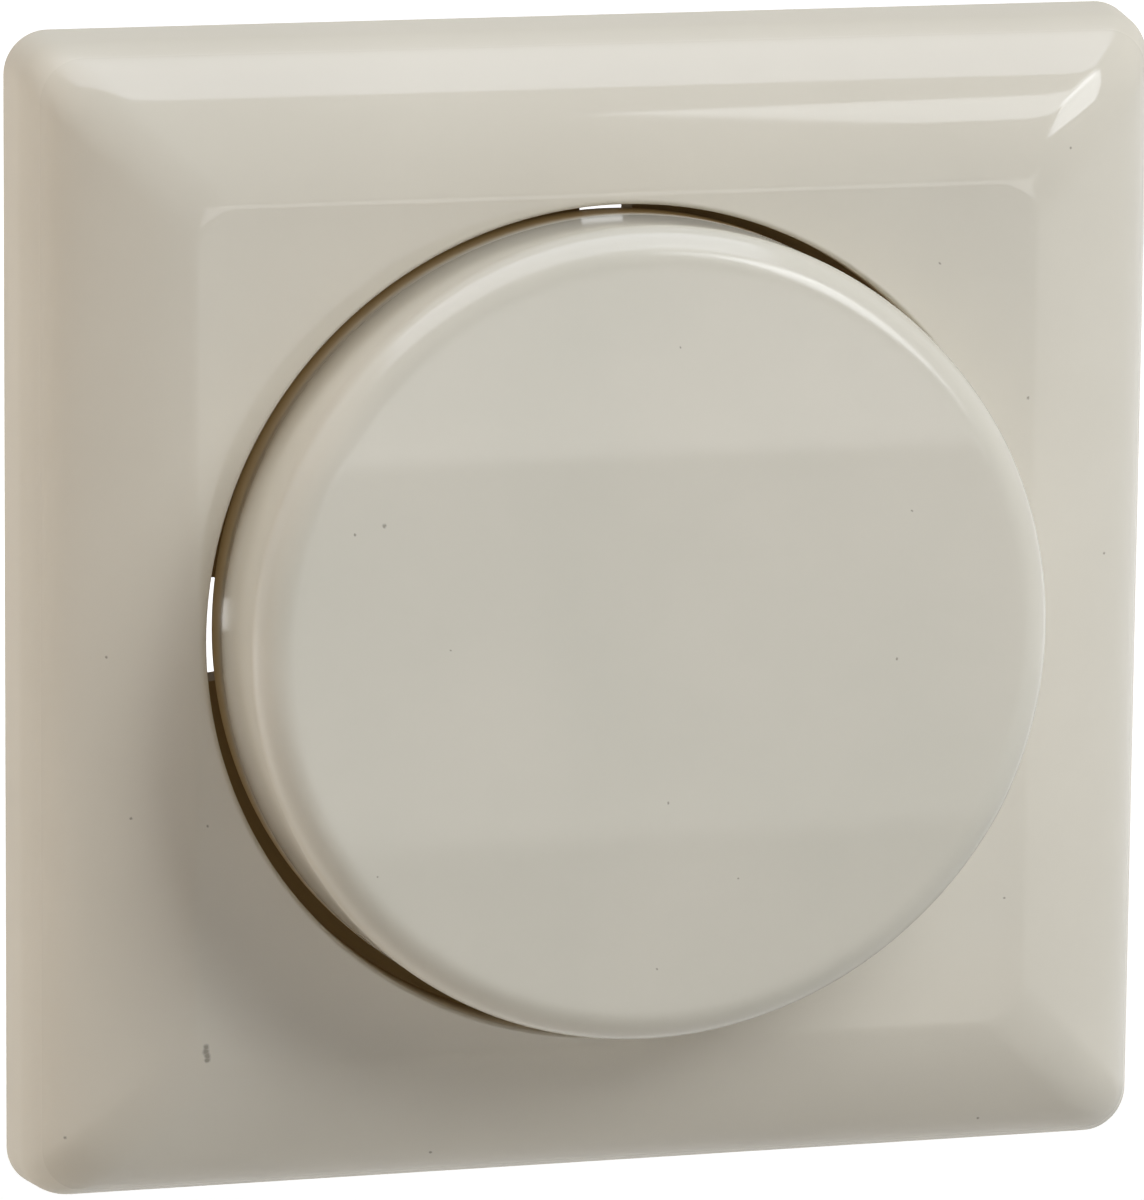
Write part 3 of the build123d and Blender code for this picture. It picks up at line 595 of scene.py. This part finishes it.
def specked(material, spots):
    """Dust on the front of a moulding: places across and up, and half widths, in millimetres."""
    tree = material.node_tree
    colour = tree.nodes["Principled BSDF"].inputs["Base Color"]
    surface = colour.links[0].from_socket
    place = tree.nodes.new("ShaderNodeTexCoord")
    ragged = tree.nodes.new("ShaderNodeVectorMath")
    ragged.operation = "MULTIPLY_ADD"
    ragged.inputs[1].default_value = (1, 0, 1)
    noise = tree.nodes.new("ShaderNodeTexNoise")
    noise.inputs["Scale"].default_value = 1 / SPECK_GRAIN
    small = tree.nodes.new("ShaderNodeVectorMath")
    small.operation = "MULTIPLY"
    small.inputs[1].default_value = (SPECK_RAGGED, 0, SPECK_RAGGED)
    tree.links.new(place.outputs["Object"], noise.inputs["Vector"])
    tree.links.new(noise.outputs["Color"], small.inputs[0])
    tree.links.new(place.outputs["Object"], ragged.inputs[0])
    tree.links.new(small.outputs["Vector"], ragged.inputs[2])
    dust = None
    for across, upward, half in spots:
        away = tree.nodes.new("ShaderNodeVectorMath")
        away.operation = "DISTANCE"
        away.inputs[1].default_value = (0.001 * across, 0, 0.001 * upward)
        dot = tree.nodes.new("ShaderNodeMapRange")
        dot.inputs["From Min"].default_value = 0.001 * SPECK_CORE * half
        dot.inputs["From Max"].default_value = 0.001 * half
        dot.inputs["To Min"].default_value = SPECK_SHARE
        dot.inputs["To Max"].default_value = 0.0
        tree.links.new(ragged.outputs["Vector"], away.inputs[0])
        tree.links.new(away.outputs["Value"], dot.inputs["Value"])
        if dust is None:
            dust = dot.outputs["Result"]
            continue
        either = tree.nodes.new("ShaderNodeMath")
        either.operation = "MAXIMUM"
        tree.links.new(dust, either.inputs[0])
        tree.links.new(dot.outputs["Result"], either.inputs[1])
        dust = either.outputs["Value"]
    blend = tree.nodes.new("ShaderNodeMixRGB")
    blend.inputs["Color2"].default_value = SPECK_TONE
    tree.links.new(dust, blend.inputs["Fac"])
    tree.links.new(surface, blend.inputs["Color1"])
    tree.links.new(blend.outputs["Color"], colour)


cream_gloss = moulded(
    "cream_gloss",
    dark=paint(203, 196, 183),
    light=paint(207, 200, 187),
    roughness=(0.05, 0.07),
    grain=1e-6,
    grain_size=0.0005,
)
cream_inside = moulded(
    "cream_inside",
    dark=paint(203, 196, 183),
    light=paint(207, 200, 187),
    roughness=(0.55, 0.65),
    grain=4e-6,
    grain_size=0.0005,
)
cream_inside.node_tree.nodes["Principled BSDF"].inputs["Specular IOR Level"].default_value = DULL
# Painted shade: the opening's inner wall turns a darker amber with depth, with a faint painted glow.
painted_gap_shade(cream_inside, GAP_SHADE_TONE, strength=0.04)
dulled(cream_gloss, roughness=0.5, low=4.0, high=8.0)
specked(cream_gloss, [
    (22.5, 24, 0.12), (29, 14.5, 0.14), (-35, -1, 0.12), (-33.5, -12, 0.13), (-28.5, -12.5, 0.13),
    (-37.5, -34.5, 0.13), (-12, -37, 0.15), (35.5, 3, 0.12), (27.5, -37, 0.12), (28, -20.5, 0.1),
    (32, 31.5, 0.12), (-28.6, -27.8, 0.28), (-28.6, -28.1, 0.3), (-28.5, -28.4, 0.3), (-28.5, -28.7, 0.26),
])
cover_frame.data.materials.append(cream_gloss)
cover_frame.data.materials.append(cream_inside)
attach(cover_frame, "frame_and_insert")
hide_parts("cover_frame")

# Rocker: a thick hollow cap moulded in the same cream plastic, with a softer gloss and three flat facets.
# Two ribs inside sit on the cradle and four clip legs hold it there. Its upper end is pressed in.
ROCKER_RADIUS = 27.75
ROCKER_LEAN = 0.15
ROCKER_FACE = 22.0
ROCKER_FOOT = 8.76
ROCKER_EDGE = 2.4
EDGE_STEPS = 14
EDGE_EASE = (0.004, 0.3)
FOOT_EASE = (0.05, 0.2)
ROCKER_WALL = 1.8
ROCKER_TOP = 2.2
FACE_CUTS = 55
FACE_BAND = 1.0
MERGE = 1e-4
FACET_HALF = 12.85
FACET_SLOPE = radians(5.5)
CREASE_RADIUS = 20.0
RIB_X = (7.2, 8.8)
RIB_LENGTH = 28.0
RIB_SINK = 0.2
CRADLE_FRONT = 9.0
LEG_Y = 10.0
LEG_WIDTH = 4.0
LEG_BARB = (6.8, 9.6)
LEG_TIP = 5.2


def facet_drop(across):
    """How far the face lies behind its middle facet at a distance from the middle."""
    reach = CREASE_RADIUS * tan(FACET_SLOPE / 2)
    past = abs(across) - FACET_HALF
    if past < -reach:
        return 0.0
    if past < reach:
        return (past + reach) ** 2 / (2 * CREASE_RADIUS)
    return past * tan(FACET_SLOPE)


cap = bmesh.new()
rim = ROCKER_RADIUS - ROCKER_LEAN
edge_middle = rim - ROCKER_EDGE
profile = [(0.0, ROCKER_FACE), (edge_middle, ROCKER_FACE)]
for step in range(1, EDGE_STEPS + 1):
    angle = pi / 2 * step / EDGE_STEPS
    height = ROCKER_FACE - ROCKER_EDGE * (1 - cos(angle))
    profile.append((edge_middle + ROCKER_EDGE * sin(angle), height))
profile += [
    (rim + EDGE_EASE[0], ROCKER_FACE - ROCKER_EDGE - EDGE_EASE[1]),
    (ROCKER_RADIUS, ROCKER_FOOT + FOOT_EASE[1]),
    (ROCKER_RADIUS - FOOT_EASE[0], ROCKER_FOOT),
    (ROCKER_RADIUS - ROCKER_WALL, ROCKER_FOOT),
    (ROCKER_RADIUS - ROCKER_WALL, ROCKER_FACE - ROCKER_TOP),
    (0.0, ROCKER_FACE - ROCKER_TOP),
]
points = [cap.verts.new((radius, 0, height)) for radius, height in profile]
lines = [cap.edges.new(pair) for pair in zip(points, points[1:])]
bmesh.ops.subdivide_edges(cap, edges=[lines[0], lines[-1]], cuts=FACE_CUTS)
bmesh.ops.spin(
    cap,
    geom=[*cap.verts, *cap.edges],
    cent=(0, 0, 0),
    axis=(0, 0, 1),
    angle=2 * pi,
    steps=ROUND_STEPS,
    use_merge=True,
)
bmesh.ops.remove_doubles(cap, verts=cap.verts, dist=MERGE)
for point in cap.verts:
    if point.co.z > ROCKER_FACE - ROCKER_EDGE - FACE_BAND:
        point.co.z -= facet_drop(point.co.y)
for side in (-1, 1):
    bottom = [
        (side * RIB_X[0], -RIB_LENGTH / 2, CRADLE_FRONT),
        (side * RIB_X[1], -RIB_LENGTH / 2, CRADLE_FRONT),
        (side * RIB_X[1], RIB_LENGTH / 2, CRADLE_FRONT),
        (side * RIB_X[0], RIB_LENGTH / 2, CRADLE_FRONT),
    ]
    plate(cap, bottom, (0, 0, ROCKER_FACE - ROCKER_TOP + RIB_SINK - CRADLE_FRONT))
    for end in (-1, 1):
        leg = [
            (RIB_X[0], CRADLE_FRONT + RIB_SINK),
            (RIB_X[1], CRADLE_FRONT + RIB_SINK),
            (RIB_X[1], LEG_BARB[0]),
            (LEG_BARB[1], LEG_BARB[0]),
            (sum(RIB_X) / 2, LEG_TIP),
            (RIB_X[0], LEG_TIP),
        ]
        outline = [(side * x, end * LEG_Y - LEG_WIDTH / 2, height) for x, height in leg]
        plate(cap, outline, (0, LEG_WIDTH, 0))
rocker = stand_up(cap, "rocker_cap", pressed, sharp=40)
cream_satin = moulded(
    "cream_satin",
    dark=paint(200, 195, 183),
    light=paint(205, 199, 187),
    roughness=(0.14, 0.18),
    grain=1e-6,
    grain_size=0.0005,
)
dulled(cream_satin, roughness=0.6, low=FRAME_FRONT - 1, high=FRAME_FRONT + 0.5)
# Painted shade: the rocker's skirt turns a darker amber where it sinks into the gap, with a painted glow.
painted_gap_shade(cream_satin, GAP_SHADE_TONE, strength=0.22)
specked(cream_satin, [
    (-19, 9.5, 0.18), (-21, 9, 0.12), (1.5, 20.5, 0.1), (16.5, -1, 0.12), (0.5, -10, 0.13),
    (5.5, -15.5, 0.1), (0, -21.5, 0.1), (-19.5, -14, 0.1), (17.5, 9, 0.1), (-14.5, 1, 0.08),
])
rocker.data.materials.append(cream_satin)
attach(rocker, "rocker")
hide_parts("rocker")

# Stage: a pale floor well below the switch, in a white surround that is seen and mirrored but gives no light.
# A tall soft box at the right front is the main lamp, and a panel and two cards fill in. The mirrored panels
# are the bright faces of box, ceiling and front card, as the gloss shows them.
FLOOR_HALF = 4
FLOOR_ROUGHNESS = 0.9
FLOOR = -0.16
FLOOR_TONE = (0.62, 0.6, 0.57, 1)
FLOOR_LIFT = 0.4
FLOOR_NEAR = 0.3
FLOOR_FAR = 0.8


def seen_directly(tree):
    """One for rays from the camera and for those that a glossy or clear surface sends on."""
    path = tree.nodes.new("ShaderNodeLightPath")
    fac = path.outputs["Is Camera Ray"]
    for kind in ("Is Glossy Ray", "Is Transmission Ray"):
        either = tree.nodes.new("ShaderNodeMath")
        either.operation = "MAXIMUM"
        tree.links.new(fac, either.inputs[0])
        tree.links.new(path.outputs[kind], either.inputs[1])
        fac = either.outputs["Value"]
    return fac


floor_mesh = bmesh.new()
sunk = Matrix.Translation((0, 0, FLOOR))
bmesh.ops.create_grid(floor_mesh, x_segments=1, y_segments=1, size=FLOOR_HALF, matrix=sunk)
floor_data = bpy.data.meshes.new("floor")
floor_mesh.to_mesh(floor_data)
floor_mesh.free()
floor = bpy.data.objects.new("floor", floor_data)
bpy.context.scene.collection.objects.link(floor)
floor_paint = bpy.data.materials.new("floor_paint")
floor_paint.use_nodes = True
floor_tree = floor_paint.node_tree
floor_shader = floor_tree.nodes["Principled BSDF"]
floor_shader.inputs["Base Color"].default_value = FLOOR_TONE
floor_shader.inputs["Roughness"].default_value = FLOOR_ROUGHNESS
glow = floor_tree.nodes.new("ShaderNodeEmission")
both = floor_tree.nodes.new("ShaderNodeAddShader")
lift = floor_tree.nodes.new("ShaderNodeMath")
lift.operation = "MULTIPLY"
spot = floor_tree.nodes.new("ShaderNodeTexCoord")
away = floor_tree.nodes.new("ShaderNodeVectorMath")
away.operation = "LENGTH"
fade = floor_tree.nodes.new("ShaderNodeMapRange")
fade.inputs["From Min"].default_value = FLOOR_NEAR
fade.inputs["From Max"].default_value = FLOOR_FAR
fade.inputs["To Min"].default_value = FLOOR_LIFT
floor_tree.links.new(spot.outputs["Object"], away.inputs[0])
floor_tree.links.new(away.outputs["Value"], fade.inputs["Value"])
floor_tree.links.new(fade.outputs["Result"], lift.inputs[1])
floor_tree.links.new(seen_directly(floor_tree), lift.inputs[0])
floor_tree.links.new(lift.outputs["Value"], glow.inputs["Strength"])
floor_tree.links.new(floor_shader.outputs["BSDF"], both.inputs[0])
floor_tree.links.new(glow.outputs["Emission"], both.inputs[1])
floor_tree.links.new(both.outputs["Shader"], floor_tree.nodes["Material Output"].inputs["Surface"])
floor_data.materials.append(floor_paint)

world = bpy.data.worlds.new("surround")
bpy.context.scene.world = world
world.use_nodes = True
air = world.node_tree
air.nodes["Background"].inputs["Color"].default_value = (1, 1, 1, 1)
air.links.new(seen_directly(air), air.nodes["Background"].inputs["Strength"])


def panel(name, centre, size, facing, brightness, tint, mirrored=False):
    """A rectangular soft lamp that looks along a direction and gives either light or only a reflection."""
    lamp = bpy.data.lights.new(name, "AREA")
    lamp.shape = "RECTANGLE"
    lamp.size, lamp.size_y = size
    lamp.energy = brightness * pi * size[0] * size[1]
    lamp.color = tint
    holder = bpy.data.objects.new(name, lamp)
    turned = Vector(facing).to_track_quat("-Z", "Y").to_matrix().to_4x4()
    holder.matrix_world = Matrix.Translation(centre) @ turned
    holder.visible_glossy = mirrored
    holder.visible_diffuse = not mirrored
    bpy.context.scene.collection.objects.link(holder)


panel(
    "right_box",
    centre=(0.64, -0.84, 1.08),
    size=(0.63, 1.125),
    facing=(-0.64, 0.84, -1.08),
    brightness=11.0,
    tint=(0.93, 0.975, 1),
)
panel(
    "front_panel",
    centre=(0.1, -0.55, 1.0),
    size=(1.0, 0.6),
    facing=(0, 0.4, -1),
    brightness=0.5,
    tint=(1, 0.8, 0.6),
)
panel(
    "left_card",
    centre=(-1.0, 0.28, 0.6),
    size=(0.5, 1.4),
    facing=(1, 0, -0.1),
    brightness=4.4,
    tint=(0.9, 0.94, 0.98),
)
panel(
    "low_card",
    centre=(-0.7, -0.1, -0.14),
    size=(0.6, 0.8),
    facing=(0.3, 0, 1),
    brightness=3.0,
    tint=(1, 0.62, 0.2),
)
panel(
    "box_top",
    centre=(0.446, -0.637, 0.66),
    size=(0.356, 0.146),
    facing=(-0.446, 0.637, -0.66),
    brightness=3.25,
    tint=(0.9, 0.94, 1),
    mirrored=True,
)
panel(
    "box_face",
    centre=(0.565, -0.673, 0.518),
    size=(0.31, 0.36),
    facing=(-0.565, 0.673, -0.518),
    brightness=4.95,
    tint=(0.9, 0.94, 1),
    mirrored=True,
)
panel(
    "top_sheet",
    centre=(0, -0.125, 1.2),
    size=(1.6, 1.25),
    facing=(0, 0, -1),
    brightness=2.35,
    tint=(0.83, 0.87, 1),
    mirrored=True,
)
panel(
    "front_sheet",
    centre=(0.33, -1.15, 0.07),
    size=(0.7, 0.2),
    facing=(-0.33, 1.15, -0.07),
    brightness=1.45,
    tint=(1, 1, 1),
    mirrored=True,
)

# Camera: a long lens from the left and a little above, as the switch is shown.
# It looks at the middle of the switch, turned, tipped and rolled by the angles below, with all of it sharp.
YAW = radians(15.82)
PITCH = radians(11.27)
ROLL = radians(0.56)
DISTANCE = 0.608
AIM = Vector((-0.00007, 0, -0.00062))
SENSOR = 36
LENS = 264.4
NEAREST = 0.01
forward = Vector((sin(YAW) * cos(PITCH), cos(YAW) * cos(PITCH), -sin(PITCH)))
level_right = Vector((cos(YAW), -sin(YAW), 0))
level_up = level_right.cross(forward)
right = level_right * cos(ROLL) + level_up * sin(ROLL)
up = level_up * cos(ROLL) - level_right * sin(ROLL)
lens = bpy.data.cameras.new("camera")
lens.sensor_width = SENSOR
lens.lens = LENS
lens.clip_start = NEAREST
camera = bpy.data.objects.new("camera", lens)
turned = Matrix((right, up, -forward)).transposed().to_4x4()
camera.matrix_world = Matrix.Translation(AIM - forward * DISTANCE) @ turned
bpy.context.scene.collection.objects.link(camera)
bpy.context.scene.camera = camera
bpy.context.scene.view_settings.view_transform = "Standard"
